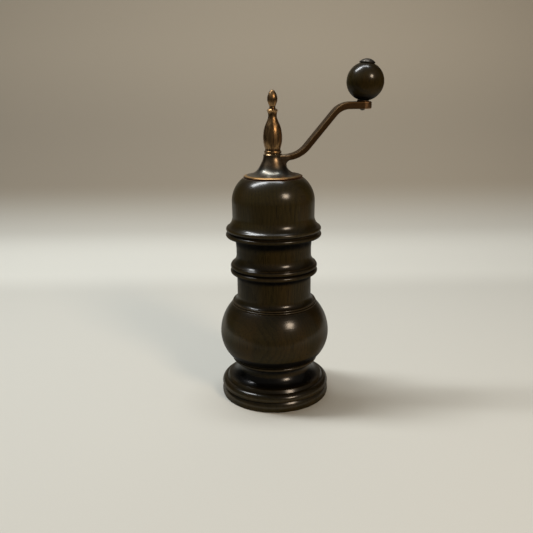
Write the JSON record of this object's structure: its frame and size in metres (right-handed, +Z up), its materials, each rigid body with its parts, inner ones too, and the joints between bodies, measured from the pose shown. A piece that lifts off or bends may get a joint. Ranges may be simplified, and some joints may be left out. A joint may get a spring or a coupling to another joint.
{
  "type": "pepper mill",
  "caption": "Turned dark wood pepper mill with a domed lid, a bronze crank with a ball knob on top, and a finial nut that sets the gap of the burr inside.",
  "frame": {"origin": "centre of the underside of the foot", "axes": "+Z up along the spindle, +X along the crank at rest"},
  "size_m": [0.0939, 0.0634, 0.1921],
  "materials": {
    "dark_wood": "dark stained, satin lacquer",
    "antique_bronze": "antiqued, dark in the hollows, worn bright on edges",
    "dark_rivet": "blackened, half gloss",
    "bush_brass": "machined",
    "bright_steel": "plated",
    "burr_iron": "hardened, dark"
  },
  "bodies": {
    "mill_body": {"body": "dark_wood", "stator": "burr_iron", "bridge": "burr_iron", "bridge_bush": "bush_brass", "retaining_bar": "bright_steel", "bar_screws": "bright_steel", "tail_bush": "bush_brass", "spring": "bright_steel"},
    "lid": {"dome": "dark_wood", "top_bush": "bush_brass", "bell_washer": "bush_brass"},
    "crank": {"crank": "antique_bronze", "knob_rivet": "dark_rivet", "knob_washer": "dark_rivet"},
    "knob": {"knob": "dark_wood"},
    "finial": {"finial": "antique_bronze"},
    "spring_cup": {"spring_cup": "bright_steel"},
    "spindle": {"spindle": "bright_steel", "rotor": "burr_iron", "rotor_washer": "bright_steel", "rotor_nut": "bright_steel"}
  },
  "joints": [
    {"name": "head_lift", "type": "slide", "parent": "mill_body", "child": "lid", "axis": [0, 0, 1], "range_m": [0, 0.08]},
    {"name": "crank_turn", "type": "hinge", "parent": "lid", "child": "crank", "pos_m": [0, 0, 0.13], "axis": [0, 0, 1], "continuous": true},
    {"name": "knob_spin", "type": "hinge", "parent": "crank", "child": "knob", "pos_m": [0.0519, 0, 0.18], "axis": [0.0872, 0, 0.9962], "continuous": true},
    {"name": "finial_turn", "type": "hinge", "parent": "crank", "child": "finial", "pos_m": [0, 0, 0.15], "axis": [0, 0, 1], "range_deg": [-181, 541]},
    {"name": "burr_gap", "type": "slide", "parent": "mill_body", "child": "spring_cup", "axis": [0, 0, 1], "range_m": [-0.00105, 0.00035], "deforming": ["spring"]},
    {"name": "spindle_turn", "type": "hinge", "parent": "spring_cup", "child": "spindle", "pos_m": [0, 0, 0.015], "axis": [0, 0, 1], "continuous": true}
  ],
  "couplings": [
    {"joint": "finial_turn", "follows": "burr_gap", "rad_per_m": -8976},
    {"joint": "spindle_turn", "follows": "crank_turn", "ratio": 1}
  ]
}
